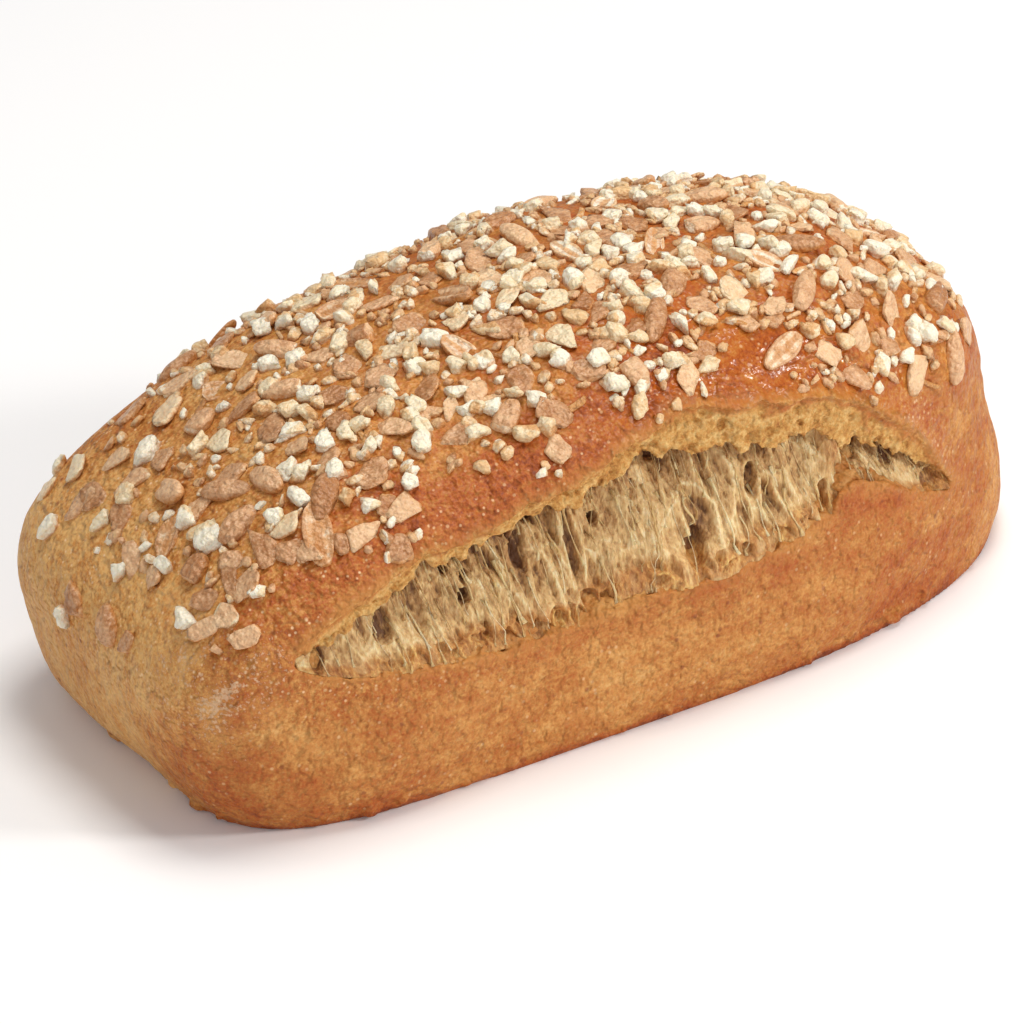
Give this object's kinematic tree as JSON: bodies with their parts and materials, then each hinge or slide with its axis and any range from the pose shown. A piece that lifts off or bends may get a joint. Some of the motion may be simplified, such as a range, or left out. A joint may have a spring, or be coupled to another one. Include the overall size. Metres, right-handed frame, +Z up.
{
  "type": "bread roll",
  "caption": "Loaf-shaped baked bread roll with a flat base, domed crust, a torn burst along one flank and a topping of cracked grain.",
  "frame": {"origin": "on the table, under the middle of the roll's box", "axes": "+X along the roll towards its higher, rounder end; -Y out of the burst flank; +Z up"},
  "size_m": [0.1217, 0.0585, 0.0492],
  "materials": {
    "crust": "baked golden brown crust, satin",
    "crumb": "torn pale crumb in the burst, soft and matte",
    "grain": "cracked grain, off-white to tan, matte"
  },
  "bodies": {
    "root": {"roll": "crust"}
  },
  "joints": []
}
